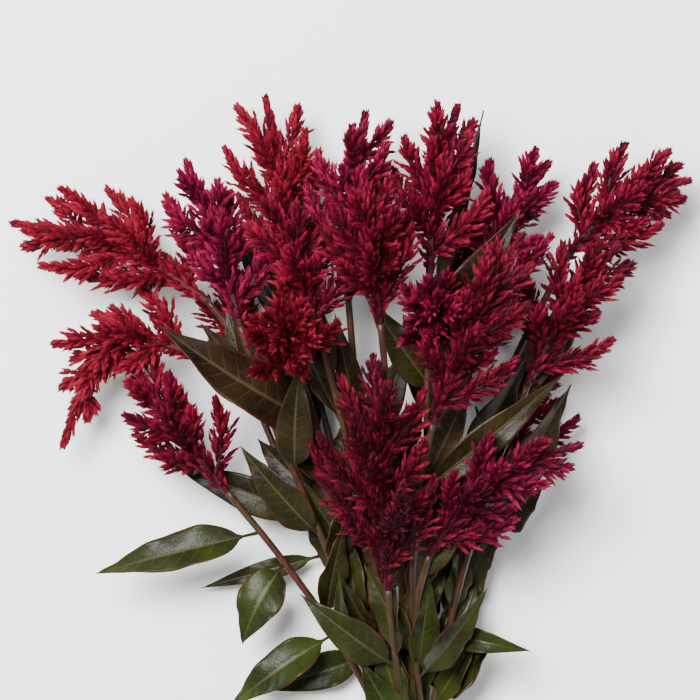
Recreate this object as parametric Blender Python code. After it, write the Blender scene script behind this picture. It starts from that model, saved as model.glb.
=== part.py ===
"""A bunch of cut plume celosia, tied with twine and lying on a flat surface.

The stems run along +Y from their cut ends to the plumes, and +Z is up. The origin is under the
middle of the twine, where it lies on the surface. The plan is worked out in millimetres, and
the objects are made in metres.
"""

import math
import random
from collections import namedtuple

import bpy
import numpy as np
from mathutils.bvhtree import BVHTree

MM = 0.001
SEED = 20

# Stems
STEM_FLAT = 2.3  # half the width across a stem's flats, at the twine
STEM_TOP = 2.0  # radius under the plume
STEM_SIDES = 6
STEM_GAP = 0.35  # between neighbours where the twine holds them
CUT_LENGTH = 165.0  # from the twine to the cut ends
CUT_SPREAD = 1.3  # how far the stems part again below the twine
STEM_SHARES = (0.07, 0.17, 0.32, 0.52, 0.76, 1.0)  # where its points are, on the way to the plume
STEM_POINTS = len(STEM_SHARES) + 1  # from the twine's upper edge to the plume's foot

# Twine
TWINE_WIDTH = 14.0
TWINE_THICK = 1.8
TWINE_GAP = 0.3

# Plumes
PLUME_SHARES = (0.0, 0.25, 0.5, 0.75, 1.0)  # where the points that lead the core are
CORE_STEP = 12.0  # between two whorls of florets
CORE_SHARES = (0.0, 0.12, 0.35, 0.7, 0.92)
CORE_RADII = (2.5, 8.0, 10.5, 8.5, 6.0)
CORE_ROOM = 12.0  # radius that one plume keeps clear of another's middle
SPRAY_STEP = 11.0
SPRAY_SHARES = (0.0, 0.3, 0.6, 0.88, 1.0)
SPRAY_RADII = (4.2, 8.4, 7.4, 5.0, 3.8)
GOLDEN_ANGLE = math.radians(137.5)
SEAT_GAP = 0.3  # between a stem's top and the plume on it

# Leaves
LEAF_THICK = 0.8
LEAF_STATIONS = (0.0, 0.14, 0.36, 0.6, 0.84)
PETIOLE_HALF = 1.1
LEAF_FOLD = math.radians(14)

# Placing
PAD = 0.45  # a new piece is kept this far from what is already there
SAMPLES = 64  # places along each flower where stems and plumes are pushed apart

# Colours, as base colours of the shader
SCARLET = (0.31, 0.012, 0.02)
CRIMSON = (0.22, 0.006, 0.026)
MAGENTA = (0.28, 0.008, 0.05)
BRONZE = (0.055, 0.034, 0.02)
GREEN = (0.045, 0.075, 0.018)
TWINE_COLOUR = (0.36, 0.25, 0.13)
SCARLET_PLUMES = ("far_left", "top_left", "drooping_left", "round_left", "under_left")
MAGENTA_PLUMES = ("upper_left", "upper_right", "round_right", "low_right", "top_middle")
GREEN_STEMS = (
    "low_left",
    "low_middle",
    "low_right",
    "right",
    "far_right",
    "round_right",
    "under_left",
)

Flower = namedtuple("Flower", "name base bend tip sprays reach")
Leaf = namedtuple("Leaf", "stem at tip width lift roll")
Mesh = namedtuple("Mesh", "points faces")

# One row for each flower: where its plume starts, bends and ends, how many side sprays it has,
# and how long the lowest of them are.
FLOWERS = [
    Flower("far_left", (-124, 294, 62), (-175, 332, 66), (-240, 341, 50), 10, 62),
    Flower("upper_left", (-103, 279, 92), (-115, 330, 98), (-134, 374, 96), 8, 46),
    Flower("top_left", (-67, 290, 44), (-75, 355, 46), (-88, 415, 44), 10, 66),
    Flower("top_middle", (-38, 294, 80), (-38, 354, 84), (-28, 404, 76), 9, 54),
    Flower("front_middle", (-19, 280, 118), (-24, 322, 136), (-26, 358, 142), 9, 48),
    Flower("top", (10, 310, 86), (12, 364, 86), (27, 408, 76), 9, 52),
    Flower("upper_right", (42, 292, 58), (56, 342, 58), (82, 376, 52), 8, 50),
    Flower("far_right", (94, 319, 58), (122, 358, 62), (167, 367, 50), 10, 52),
    Flower("right", (70, 243, 80), (92, 292, 84), (123, 325, 76), 9, 48),
    Flower("front_right", (10, 222, 112), (28, 276, 128), (63, 329, 124), 10, 54),
    Flower("round_right", (19, 268, 94), (16, 282, 126), (14, 296, 156), 10, 38),
    Flower("round_left", (-70, 258, 98), (-73, 268, 128), (-77, 281, 158), 12, 44),
    Flower("low_middle", (-14, 120, 80), (-20, 186, 114), (-20, 252, 122), 12, 72),
    Flower("low_right", (10, 141, 84), (38, 188, 106), (97, 206, 102), 9, 48),
    Flower("drooping_left", (-127, 260, 62), (-186, 286, 66), (-212, 208, 40), 10, 44),
    Flower("low_left", (-112, 178, 60), (-146, 218, 70), (-166, 252, 64), 9, 48),
    Flower("inner_left", (-56, 274, 106), (-68, 316, 116), (-83, 352, 110), 8, 46),
    Flower("under_right", (26, 262, 22), (40, 312, 20), (50, 360, 18), 7, 44),
    Flower("under_left", (-92, 222, 22), (-106, 268, 20), (-116, 316, 18), 7, 44),
    Flower("under_low", (58, 192, 22), (74, 236, 21), (92, 276, 18), 7, 40),
]
TIE_ROWS = (5, 6, 5, 4)  # stems in each row where the twine holds them, from the surface up

# One row for each leaf that shows: the stem it grows on, the share of the stem's length, where
# its tip is, its width, how high its back arches, and its turn about its own length in degrees.
FRONT_LEAVES = [  # these lie over the plumes
    Leaf("round_left", 0.80, (-150, 278, 100), 36, 12, 12),
    Leaf("top", 0.88, (64, 347, 122), 25, 10, -30),
]
LEAVES = [  # and these lie between and under them
    Leaf("low_left", 0.84, (-193, 127, 44), 25, 14, 20),
    Leaf("low_left", 0.72, (-103, 84, 46), 28, 10, 0),
    Leaf("low_left", 0.45, (-111, 44, 26), 24, 14, 10),
    Leaf("under_left", 0.60, (-130, 116, 14), 12, 4, 0),
    Leaf("under_left", 0.30, (-92, 52, 8), 22, 5, 0),
    Leaf("top", 0.93, (45, 411, 58), 14, 4, 35),
    Leaf("right", 0.92, (117, 338, 56), 16, 5, 20),
    Leaf("right", 0.62, (97, 243, 66), 32, 8, 25),
    Leaf("front_right", 0.80, (91, 250, 98), 20, 6, -20),
    Leaf("under_low", 0.80, (82, 180, 40), 26, 6, 20),
    Leaf("low_right", 0.85, (32, 186, 78), 20, 7, 20),
    Leaf("far_right", 0.42, (62, 190, 72), 21, 7, -25),
    Leaf("right", 0.34, (74, 80, 50), 14, 20, 0),
    Leaf("far_right", 0.14, (50, 84, 54), 24, 8, 10),
    Leaf("low_middle", 0.20, (-31, 76, 58), 22, 8, 0),
    Leaf("top_middle", 0.74, (-46, 286, 92), 16, 4, 30),
    Leaf("upper_left", 0.74, (-110, 292, 72), 15, 4, 35),
    Leaf("low_middle", 0.55, (-67, 116, 70), 23, 8, 0),
    Leaf("front_middle", 0.45, (-10, 128, 96), 18, 6, 0),
    Leaf("inner_left", 0.86, (-68, 318, 92), 17, 5, 30),
    Leaf("top_left", 0.92, (-110, 340, 34), 18, 5, 10),
    Leaf("drooping_left", 0.55, (-150, 196, 30), 22, 6, 0),
    Leaf("upper_right", 0.60, (72, 262, 30), 26, 8, 0),
    Leaf("far_right", 0.75, (112, 300, 24), 24, 8, 0),
    Leaf("low_middle", 0.08, (-4, 62, 50), 16, 8, 10),
    Leaf("low_right", 0.40, (46, 120, 76), 20, 8, 20),
]
SPARE_LEAVES_TO = 3  # a stem with fewer leaves than this gets more, where they fit
SPARE_LEAF_LENGTH = 74.0
SPARE_LEAF_WIDTH = 22.0


def unit(vector):
    return vector / max(np.linalg.norm(vector), 1e-9)


def turned(vector, axis, angle):
    """vector turned about a unit axis."""
    cos, sin = math.cos(angle), math.sin(angle)
    return vector * cos + np.cross(axis, vector) * sin + axis * (axis @ vector) * (1 - cos)


def bezier(corners, shares):
    """Points of a Bezier curve of any degree, one for each share of its length."""
    corners, shares = np.array(corners, float), np.array(shares, float)[:, None]
    degree = len(corners) - 1
    points = np.zeros((len(shares), 3))
    for k, corner in enumerate(corners):
        points += math.comb(degree, k) * shares**k * (1 - shares) ** (degree - k) * corner
    return points


def frames(points, first_side, last=None):
    """Directions along a line of points, and two across it that turn as little as they can."""
    steps = np.diff(points, axis=0)
    steps /= np.maximum(np.linalg.norm(steps, axis=1), 1e-9)[:, None]
    along = np.vstack([steps[:1], steps[:-1] + steps[1:], steps[-1:] if last is None else [last]])
    along /= np.linalg.norm(along, axis=1)[:, None]
    side, sides = np.array(first_side, float), []
    for direction in along:
        side = unit(side - direction * (side @ direction))
        sides.append(side)
    sides = np.array(sides)
    return along, sides, np.cross(along, sides)


def across(direction):
    """Some direction square to this one."""
    other = np.array((0.0, 0.0, 1.0)) if abs(direction[2]) < 0.9 else np.array((1.0, 0.0, 0.0))
    return unit(np.cross(direction, other))


def facing_out(points, faces):
    """The faces, turned so that the closed shape's volume is positive."""
    corners = np.array(points)[np.array(faces)]
    if np.linalg.det(corners).sum() < 0:
        return [face[::-1] for face in faces]
    return faces


def lofted(rings, tip=None):
    """A closed mesh through rings of equally many points, with a flat end or a tip."""
    count = len(rings[0])
    points = [point for ring in rings for point in ring]
    faces = []
    for level in range(len(rings) - 1):
        low, high = level * count, (level + 1) * count
        for k in range(count):
            after = (k + 1) % count
            faces.append((low + k, low + after, high + k))
            faces.append((low + after, high + after, high + k))
    faces += [(0, k + 1, k) for k in range(1, count - 1)]
    last = (len(rings) - 1) * count
    if tip is None:
        faces += [(last, last + k, last + k + 1) for k in range(1, count - 1)]
    else:
        points.append(tip)
        faces += [(last + k, last + (k + 1) % count, len(points) - 1) for k in range(count)]
    return Mesh(points, facing_out(points, faces))


# The stems' places in the twine, and their way from there to the plumes


def tie_slots():
    """Where each stem crosses the twine: rows of a honeycomb, lying on the surface."""
    pitch = 2 * STEM_FLAT + STEM_GAP
    lowest = TWINE_THICK + TWINE_GAP + STEM_FLAT / math.cos(math.pi / STEM_SIDES)
    slots = []
    for row, count in enumerate(TIE_ROWS):
        height = lowest + row * pitch * math.sin(math.pi / 3)
        slots += [((k - (count - 1) / 2) * pitch, 0.0, height) for k in range(count)]
    return np.array(slots)


def slots_by_direction(slots):
    """Gives each flower the slot that lies its way, so that no two stems have to cross."""
    bases = np.array([flower.base for flower in FLOWERS], float)
    wanted = bases[:, [0, 2]] / bases[:, 1:2]
    places = slots[:, [0, 2]]
    wanted = (wanted - wanted.mean(0)) / wanted.std(0)
    places = (places - places.mean(0)) / places.std(0)
    cost = ((wanted[:, None] - places[None]) ** 2).sum(2)
    order = list(range(len(FLOWERS)))
    better = True
    while better:
        better = False
        for a in range(len(order)):
            for b in range(a + 1, len(order)):
                now = cost[a, order[a]] + cost[b, order[b]]
                if cost[a, order[b]] + cost[b, order[a]] < now - 1e-9:
                    order[a], order[b] = order[b], order[a]
                    better = True
    return slots[order]


def first_lines(slots):
    """Each flower's line of points, from the twine to the plume's tip, before they push apart."""
    lines = []
    for flower, slot in zip(FLOWERS, slots):
        base, bend = np.array(flower.base, float), np.array(flower.bend, float)
        tip = np.array(flower.tip, float)
        reach = np.linalg.norm(base - slot)
        start = slot + np.array((0.0, 0.3 * reach, 0.0))
        start[[0, 2]] += 0.1 * (base - slot)[[0, 2]]
        end = base - unit(bend - base) * 0.26 * reach
        stem = bezier([slot + np.array((0, TWINE_WIDTH / 2, 0)), start, end, base], (0.0, *STEM_SHARES))
        plume = bezier([base, base + (bend - base) * 0.9, bend + (tip - bend) * 0.15, tip], PLUME_SHARES)
        lines.append(np.vstack([stem, plume[1:]]))
    return np.array(lines)


def radii_along(samples):
    """The room that a stem and its plume need at each sample of their line."""
    knots = np.arange(STEM_POINTS + len(PLUME_SHARES) - 1, dtype=float)
    corner = STEM_FLAT / math.cos(math.pi / STEM_SIDES) + TWINE_GAP
    needed = [STEM_FLAT + STEM_GAP / 2, corner] + [corner + 0.3] * (STEM_POINTS - 3) + [corner + 0.6]
    needed += [CORE_ROOM, CORE_ROOM, CORE_ROOM * 0.8, CORE_ROOM * 0.4]
    return np.interp(samples, knots, needed)


def pushed_apart(lines, rounds=240):
    """Moves the lines until stems and plumes are clear of each other and of the surface."""
    count, knots = lines.shape[:2]
    samples = np.linspace(0, knots - 1, SAMPLES)
    low = np.minimum(samples.astype(int), knots - 2)
    share = samples - low
    weights = np.zeros((SAMPLES, knots))
    weights[np.arange(SAMPLES), low] = 1 - share
    weights[np.arange(SAMPLES), low + 1] += share
    radii = radii_along(samples)
    owner = np.repeat(np.arange(count), SAMPLES)
    needed = np.tile(radii, count)
    shift = np.zeros_like(lines)
    for turn in range(rounds):
        points = np.einsum("sk,ikc->isc", weights, lines + shift).reshape(-1, 3)
        push = np.zeros_like(points)
        apart = points[:, None] - points[None]
        distance = np.sqrt((apart**2).sum(2)) + 1e-6
        overlap = needed[:, None] + needed[None] - distance
        overlap[owner[:, None] == owner[None]] = 0
        overlap = np.maximum(overlap, 0)
        push += (apart / distance[..., None] * overlap[..., None]).sum(1) * 0.25
        push[:, 2] += np.maximum(needed - points[:, 2], 0)
        moved = np.einsum("sk,isc->ikc", weights, push.reshape(count, SAMPLES, 3))
        moved /= weights.sum(0)[None, :, None]
        shift += moved
        shift[:, 0] = 0
        if turn < rounds / 2:
            shift[:, 1:-1] += 0.2 * (shift[:, :-2] + shift[:, 2:] - 2 * shift[:, 1:-1])
    return lines + shift


# Stems and plumes as meshes


def stem_line(line, slot, top, direction):
    """The whole stem's points, from its cut end through the twine to just under the plume."""
    foot = np.array((slot[0] * CUT_SPREAD, -CUT_LENGTH - 3 * math.sin(slot[0] + slot[2]), 0.0))
    lowest = TWINE_THICK + TWINE_GAP
    foot[2] = slot[2] * CUT_SPREAD - lowest * CUT_SPREAD - 0.35 * STEM_FLAT
    foot[2] = max(foot[2], STEM_FLAT / math.cos(math.pi / STEM_SIDES))
    low_edge = slot - np.array((0, TWINE_WIDTH / 2, 0))
    return np.vstack([foot, low_edge, line[: STEM_POINTS - 1], top - direction * SEAT_GAP])


def stem_radii(points):
    """One width from the cut end to the twine, then a slight taper up to the plume."""
    upper = np.linspace(STEM_FLAT, STEM_TOP, len(points) - 2)
    return np.concatenate([[STEM_FLAT, STEM_FLAT], upper])


def tube(points, radii, last, sides=STEM_SIDES):
    """A straight-sided tube with its flats, not its corners, at the given radii."""
    _, side, up = frames(points, (1.0, 0.0, 0.0), last)
    corner = 1 / math.cos(math.pi / sides)
    angles = (np.arange(sides) + 0.5) * 2 * math.pi / sides
    rings = []
    for centre, radius, x, z in zip(points, radii, side, up):
        rings.append([centre + radius * corner * (math.cos(a) * x + math.sin(a) * z) for a in angles])
    return lofted(rings)


def smooth_line(knots, count):
    """count points, evenly spread in the knots' order, of a smooth curve through the knots."""
    knots = np.array(knots, float)
    ghost = np.vstack([2 * knots[0] - knots[1], knots, 2 * knots[-1] - knots[-2]])
    points = []
    for place in np.linspace(0, len(knots) - 1, count):
        k = min(int(place), len(knots) - 2)
        t = place - k
        a, b, c, d = ghost[k : k + 4]
        squared, cubed = 2 * a - 5 * b + 4 * c - d, 3 * b - a - 3 * c + d
        points.append(0.5 * (2 * b + (c - a) * t + squared * t**2 + cubed * t**3))
    return np.array(points)


def whorled(points, radii, sides, twist=0.0, pad=0.0):
    """A spike of florets: rings of points, each turned half a step from the last, up to a tip."""
    _, side, up = frames(points, across(unit(points[1] - points[0])))
    rings = []
    for level in range(len(points) - 1):
        turn = twist + level * math.pi / sides
        ring = []
        for k in range(sides):
            angle = turn + k * 2 * math.pi / sides
            out = math.cos(angle) * side[level] + math.sin(angle) * up[level]
            point = points[level] + out * (radii[level] + pad)
            point[2] = max(point[2], 0.0)
            ring.append(point)
        rings.append(ring)
    tip = points[-1] + unit(points[-1] - points[-2]) * pad
    return lofted(rings, tip)


def plume_core(knots):
    """The middle spike of a plume, and its line of points."""
    length = np.linalg.norm(np.diff(knots, axis=0), axis=1).sum()
    count = max(5, round(length / CORE_STEP) + 1)
    return smooth_line(knots, count), np.interp(np.linspace(0, 1, count), CORE_SHARES, CORE_RADII)


def spray_line(core, share, azimuth, pitch, length):
    """A side spray's points: it leaves the core at an angle and sweeps up along it."""
    place = share * (len(core) - 1)
    k = min(int(place), len(core) - 2)
    root = core[k] + (core[k + 1] - core[k]) * (place - k)
    along = unit(core[k + 1] - core[k])
    out = turned(across(along), along, azimuth)
    first = along * math.cos(pitch) + out * math.sin(pitch)
    last = along * math.cos(pitch * 0.4) + out * math.sin(pitch * 0.4)
    middle = root + first * length * 0.5
    count = max(4, round(length / SPRAY_STEP) + 1)
    points = bezier([root, middle, middle + last * length * 0.5], np.linspace(0, 1, count))
    points[1:, 2] = np.maximum(points[1:, 2], 0.5 * SPRAY_RADII[1])
    return points


def spray_radii(count, length):
    """A spray is slim where it leaves the core, full at a third, and blunt below its tip."""
    return np.interp(np.linspace(0, 1, count), SPRAY_SHARES, SPRAY_RADII) * min(1.0, 0.55 + length / 90)


# Leaves


def leaf_half_width(share, width):
    """Half the blade's width: a thin stalk, then an egg-shaped blade with a drawn-out tip."""
    if share <= 0.12:
        return PETIOLE_HALF
    blade = (share - 0.12) / 0.88
    return PETIOLE_HALF * (1 - blade) + 0.5 * width * math.sin(math.pi * blade**0.62) ** 1.15


def leaf_frame(root, leaf):
    """The midrib's Bezier corners and the direction that the blade's upper side faces."""
    tip = np.array(leaf.tip, float)
    along = unit(tip - root)
    away = np.array((0.5 * (root + tip)[0], 0.0, 40.0))
    face = np.array((0.0, 0.0, 1.0)) + 0.4 * unit(away)
    face = unit(face - along * (face @ along))
    rise = face * leaf.lift * 1.3
    corners = [root, root + (tip - root) * 0.33 + rise, root + (tip - root) * 0.7 + rise, tip]
    return corners, turned(face, along, math.radians(leaf.roll))


def leaf_point(line, side, up, share, over, half, phase):
    """A point of the blade, over from -1 to 1 across it: folded along the midrib, waved at its edge."""
    wave = 0.055 * half * math.sin(5.2 * math.pi * share + phase + (1.3 if over > 0 else 0.0))
    rise = abs(over) * half * math.sin(LEAF_FOLD) + over * over * wave * 3.0
    return line + side * over * half * math.cos(LEAF_FOLD) + up * rise


def leaf_blade(root, leaf, pad=0.0):
    """A leaf as a closed blade, split alike on both faces."""
    corners, face = leaf_frame(root, leaf)
    line = bezier(corners, (*LEAF_STATIONS, 1.0))
    along, _, _ = frames(line, face)
    thick = 0.5 * LEAF_THICK + pad
    rings = []
    for k, share in enumerate(LEAF_STATIONS):
        up = unit(face - along[k] * (face @ along[k]))
        side = np.cross(along[k], up)
        half = leaf_half_width(share, leaf.width) + pad
        top = [leaf_point(line[k], side, up, share, over, half, leaf.tip[0]) for over in (-1, 0, 1)]
        ring = [point + up * thick for point in top] + [point - up * thick for point in top[::-1]]
        for point in ring:
            point[2] = max(point[2], 0.0)
        rings.append(ring)
    tip = line[-1] + along[-1] * pad
    return leaf_lofted(rings, tip)


def leaf_lofted(rings, tip):
    """Joins six-point rings, with the split of each lower face under that of the upper one."""
    points = [point for ring in rings for point in ring]
    faces = []
    quads = ((0, 1, False), (1, 2, False), (2, 3, False), (3, 4, True), (4, 5, True), (5, 0, False))
    for level in range(len(rings) - 1):
        low, high = level * 6, (level + 1) * 6
        for a, b, mirrored in quads:
            if mirrored:
                faces.append((low + a, low + b, high + b))
                faces.append((low + a, high + b, high + a))
            else:
                faces.append((low + a, low + b, high + a))
                faces.append((low + b, high + b, high + a))
    faces += [(0, 5, 1), (1, 5, 4), (1, 4, 2), (2, 4, 3)]
    last = (len(rings) - 1) * 6
    points.append(tip)
    faces += [(last + k, last + (k + 1) % 6, len(points) - 1) for k in range(6)]
    return Mesh(points, facing_out(points, faces))


def on_stem(stem, share):
    """The point at this share of the stem's way from the twine to the plume."""
    upper = stem[2:]
    lengths = np.concatenate([[0], np.cumsum(np.linalg.norm(np.diff(upper, axis=0), axis=1))])
    return np.array([np.interp(share * lengths[-1], lengths, upper[:, c]) for c in range(3)])


# Placing: what would cross another node's piece is turned, shortened or left out


class Placed:
    """The pieces made so far, each with the node it belongs to."""

    def __init__(self):
        self.pieces = []

    def add(self, node, kind, mesh):
        points = np.array(mesh.points)
        tree = BVHTree.FromPolygons(points.tolist(), [list(f) for f in mesh.faces])
        self.pieces.append((node, kind, tree, points.min(0), points.max(0), mesh))

    def hits(self, mesh, skip):
        """Whether this mesh crosses a piece that skip(node, kind) doesn't let it."""
        points = np.array(mesh.points)
        low, high = points.min(0), points.max(0)
        tree = None
        for node, kind, other, other_low, other_high, _ in self.pieces:
            if skip(node, kind) or (low > other_high).any() or (high < other_low).any():
                continue
            if tree is None:
                tree = BVHTree.FromPolygons(points.tolist(), [list(f) for f in mesh.faces])
            if tree.overlap(other):
                return True
        return False

    def of_node(self, node):
        return [piece[5] for piece in self.pieces if piece[0] == node]


def place_leaf(placed, stems, leaf):
    """Adds the leaf where it is clear of everything but its own stem, or returns None."""
    node = "stem_" + leaf.stem
    root = on_stem(stems[leaf.stem], leaf.at)
    for narrower in (1.0, 0.8, 0.62):
        for drop in (0, 8, -8, 16, -16, 26):
            for roll in (0, 25, -25, 50, -50):
                tip = (leaf.tip[0], leaf.tip[1], max(leaf.tip[2] + drop, 4.0))
                tried = leaf._replace(tip=tip, width=leaf.width * narrower, roll=leaf.roll + roll)
                grown = leaf_blade(root, tried, PAD)
                if not placed.hits(grown, lambda other, kind: other == node and kind == "tube"):
                    placed.add(node, "leaf", leaf_blade(root, tried))
                    return tried
    return None


def place_spray(placed, node, core, share, azimuth, pitch, length, twist):
    """Adds a side spray clear of the other nodes, or returns None."""
    for shorter in (1.0, 0.85, 0.7, 0.55):
        for turn in (0, 0.35, -0.35, 0.7, -0.7):
            for closer in (1.0, 0.7, 1.25):
                reach = length * shorter
                line = spray_line(core, share, azimuth + turn, pitch * closer, reach)
                radii = spray_radii(len(line), reach)
                grown = whorled(line, radii, 3, twist, PAD)
                if not placed.hits(grown, lambda other, kind: other == node):
                    placed.add(node, "spray", whorled(line, radii, 3, twist))
                    return line, radii
    return None


def plan():
    """Every piece of the bunch in its place, and the lines that the pieces were made along."""
    draw = random.Random(SEED)
    slots = slots_by_direction(tie_slots())
    lines = pushed_apart(first_lines(slots))
    placed, stems, cores, sprays, leaves = Placed(), {}, {}, [], []
    placed.add("twine", "twine", twine_mesh(slots))
    for flower, slot, line in zip(FLOWERS, slots, lines):
        points, radii = plume_core(line[STEM_POINTS - 1 :])
        direction = unit(points[1] - points[0])
        stem = stem_line(line, slot, points[0], direction)
        stems[flower.name] = stem
        placed.add("stem_" + flower.name, "tube", tube(stem, stem_radii(stem), direction))
        cores[flower.name] = points
        placed.add("plume_" + flower.name, "core", whorled(points, radii, 4))
    for leaf in FRONT_LEAVES:
        leaves.append(place_leaf(placed, stems, leaf))
    for flower in sorted(FLOWERS, key=lambda one: -one.tip[2]):
        for k in range(flower.sprays):
            share = 0.07 + 0.76 * (k + 0.3) / flower.sprays
            length = flower.reach * (1.14 - 0.8 * share) * draw.uniform(0.85, 1.1)
            pitch = math.radians(62 - 24 * share) * draw.uniform(0.88, 1.12)
            azimuth = k * GOLDEN_ANGLE + draw.uniform(-0.2, 0.2)
            found = place_spray(
                placed, "plume_" + flower.name, cores[flower.name], share, azimuth, pitch, length, k
            )
            sprays.append((flower.name, found))
    for leaf in LEAVES:
        leaves.append(place_leaf(placed, stems, leaf))
    for flower in FLOWERS:
        grown = sum(1 for leaf in leaves if leaf and leaf.stem == flower.name)
        for _ in range(6):
            if grown >= SPARE_LEAVES_TO:
                break
            leaf = spare_leaf(draw, flower.name, stems[flower.name])
            found = place_leaf(placed, stems, leaf)
            leaves.append(found)
            grown += found is not None
    return placed, slots, stems, cores, sprays, leaves


def spare_leaf(draw, name, stem):
    """A leaf like the others, drawn for a stem that has too few."""
    at = draw.uniform(0.35, 0.85)
    root = on_stem(stem, at)
    heading = math.atan2(root[0], root[1] + 60) + draw.uniform(-0.7, 0.7)
    length = SPARE_LEAF_LENGTH * draw.uniform(0.75, 1.1)
    rise = draw.uniform(-0.35, 0.35)
    tip = root + length * np.array((math.sin(heading), math.cos(heading), rise))
    return Leaf(name, at, (tip[0], tip[1], max(tip[2], 6.0)), SPARE_LEAF_WIDTH, 6, draw.uniform(-30, 30))


# The twine


def hull_outline(points):
    """The corners of the smallest convex outline round points in a plane, anticlockwise."""
    points = sorted(map(tuple, points))

    def turns_right(a, b, c):
        return (b[0] - a[0]) * (c[1] - a[1]) - (b[1] - a[1]) * (c[0] - a[0]) <= 1e-6

    def half(ordered):
        chain = []
        for point in ordered:
            while len(chain) > 1 and turns_right(chain[-2], chain[-1], point):
                chain.pop()
            chain.append(point)
        return chain[:-1]

    return np.array(half(points) + half(points[::-1]))


def grown_outline(outline, by):
    """A convex outline with every side moved out by this much."""
    sides = np.roll(outline, -1, axis=0) - outline
    sides /= np.linalg.norm(sides, axis=1)[:, None]
    out = np.stack([sides[:, 1], -sides[:, 0]], axis=1)
    before = np.roll(out, 1, axis=0)
    middle = out + before
    middle /= (1 + (out * before).sum(1))[:, None]
    return outline + middle * by


def twine_mesh(slots):
    """A band with its hole shaped to the stems that it holds, and a flat underside."""
    corner = STEM_FLAT / math.cos(math.pi / STEM_SIDES)
    angles = (np.arange(STEM_SIDES) + 0.5) * 2 * math.pi / STEM_SIDES
    ring = corner * np.stack([np.cos(angles), np.sin(angles)], axis=1)
    outline = hull_outline((slots[:, None, [0, 2]] + ring[None]).reshape(-1, 2))
    inner = grown_outline(outline, TWINE_GAP)
    outer = grown_outline(inner, TWINE_THICK)
    count, half = len(outline), TWINE_WIDTH / 2 - 1.0
    points, faces = [], []
    for shape, y in ((inner, -half), (outer, -half), (outer, half), (inner, half)):
        points += [np.array((x, y, z)) for x, z in shape]
    for a, b in ((0, 1), (1, 2), (2, 3), (3, 0)):
        for k in range(count):
            after = (k + 1) % count
            faces.append((a * count + k, a * count + after, b * count + k))
            faces.append((a * count + after, b * count + after, b * count + k))
    return Mesh(points, facing_out(points, faces))


# Blender objects


def plume_colour(name):
    if name in SCARLET_PLUMES:
        return SCARLET
    return MAGENTA if name in MAGENTA_PLUMES else CRIMSON


def material(name, colour, roughness):
    made = bpy.data.materials.new(name)
    made.use_nodes = True
    shader = made.node_tree.nodes["Principled BSDF"]
    shader.inputs["Base Color"].default_value = (*colour, 1.0)
    shader.inputs["Roughness"].default_value = roughness
    shader.inputs["Metallic"].default_value = 0.0
    return made


def mesh_object(name, mesh, collection, finish):
    data = bpy.data.meshes.new(name)
    data.from_pydata([tuple(point * MM) for point in mesh.points], [], mesh.faces)
    data.materials.append(finish)
    made = bpy.data.objects.new(name, data)
    collection.objects.link(made)
    return made


def fused(name, pieces, finish):
    """One object that joins all the pieces in one Boolean union."""
    body = mesh_object(name, pieces[0], bpy.context.scene.collection, finish)
    if len(pieces) == 1:
        return body
    others = bpy.data.collections.new(name + "_pieces")
    bpy.context.scene.collection.children.link(others)
    for k, piece in enumerate(pieces[1:]):
        mesh_object(f"{name}_piece_{k}", piece, others, finish)
    union = body.modifiers.new("union", "BOOLEAN")
    union.operation = "UNION"
    union.operand_type = "COLLECTION"
    union.collection = others
    union.solver = "EXACT"
    bpy.context.view_layer.update()
    graph = bpy.context.evaluated_depsgraph_get()
    joined = bpy.data.meshes.new_from_object(body.evaluated_get(graph))
    body.modifiers.clear()
    body.data = joined
    for piece in list(others.objects):
        bpy.data.objects.remove(piece)
    bpy.data.collections.remove(others)
    return body


def main():
    for old in list(bpy.data.objects):
        bpy.data.objects.remove(old)
    placed, *_ = plan()
    for flower in FLOWERS:
        stem, plume = "stem_" + flower.name, "plume_" + flower.name
        leaf_colour = GREEN if flower.name in GREEN_STEMS else BRONZE
        fused(stem, placed.of_node(stem), material(stem, leaf_colour, 0.5))
        fused(plume, placed.of_node(plume), material(plume, plume_colour(flower.name), 0.6))
    fused("twine", placed.of_node("twine"), material("twine", TWINE_COLOUR, 0.9))


main()
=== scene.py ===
"""The looks of a tied bunch of plume celosia: fine florets, veined leaves, ribbed stems and twine.

The first part plans the bunch as its CAD source does, so that the fine pieces follow its lines.
"""

import math
import random
import zlib
from collections import namedtuple
from itertools import combinations, product

import bpy
import numpy as np
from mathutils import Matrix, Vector
from mathutils.bvhtree import BVHTree


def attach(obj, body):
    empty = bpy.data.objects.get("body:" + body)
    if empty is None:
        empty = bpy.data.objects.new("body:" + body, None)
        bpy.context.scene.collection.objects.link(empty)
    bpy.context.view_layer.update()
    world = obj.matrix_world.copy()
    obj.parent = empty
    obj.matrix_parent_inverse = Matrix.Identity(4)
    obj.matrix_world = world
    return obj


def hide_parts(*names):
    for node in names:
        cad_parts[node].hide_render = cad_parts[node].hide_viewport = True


MM = 0.001
SEED = 20

# Stems
STEM_FLAT = 2.3  # half the width across a stem's flats, at the twine
STEM_TOP = 2.0  # radius under the plume
STEM_SIDES = 6
STEM_CORNER = STEM_FLAT / math.cos(math.pi / STEM_SIDES)  # radius out to a stem's corners
STEM_GAP = 0.35  # between neighbours where the twine holds them
CUT_LENGTH = 165.0  # from the twine to the cut ends
CUT_SPREAD = 1.3  # how far the stems part again below the twine
STEM_SHARES = (0.07, 0.17, 0.32, 0.52, 0.76, 1.0)  # of its points, up to the plume
STEM_POINTS = len(STEM_SHARES) + 1

# Twine
TWINE_WIDTH = 14.0
TWINE_THICK = 1.8
TWINE_GAP = 0.3

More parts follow.
